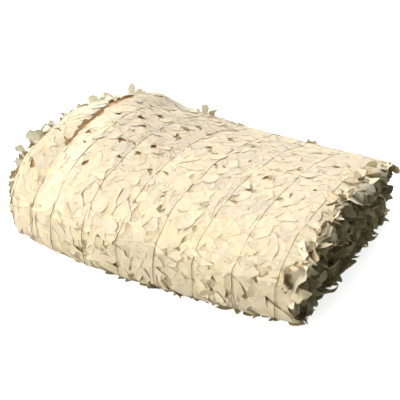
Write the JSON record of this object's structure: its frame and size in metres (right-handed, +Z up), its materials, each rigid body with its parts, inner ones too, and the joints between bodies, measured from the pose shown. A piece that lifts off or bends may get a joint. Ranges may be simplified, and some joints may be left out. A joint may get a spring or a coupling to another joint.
{
  "type": "folded camouflage netting",
  "caption": "Sand-coloured leaf-cut camouflage netting, folded into a thick flat bundle with thin cords sewn along it.",
  "frame": {"origin": "on the floor, in the middle of the flat underside", "axes": "+X along the bundle towards its open edges, -Y towards the main fold at the front, +Z up"},
  "size_m": [0.8094, 0.6292, 0.256],
  "materials": {
    "net_cloth": "matt woven leaf-cut cloth",
    "cord": "thin twisted cord"
  },
  "bodies": {
    "root": {"garnish_net": "net_cloth", "sewn_cord_1": "cord", "sewn_cord_2": "cord", "sewn_cord_3": "cord", "sewn_cord_4": "cord", "sewn_cord_5": "cord", "sewn_cord_6": "cord", "sewn_cord_7": "cord", "sewn_cord_8": "cord", "sewn_cord_9": "cord"}
  },
  "joints": []
}
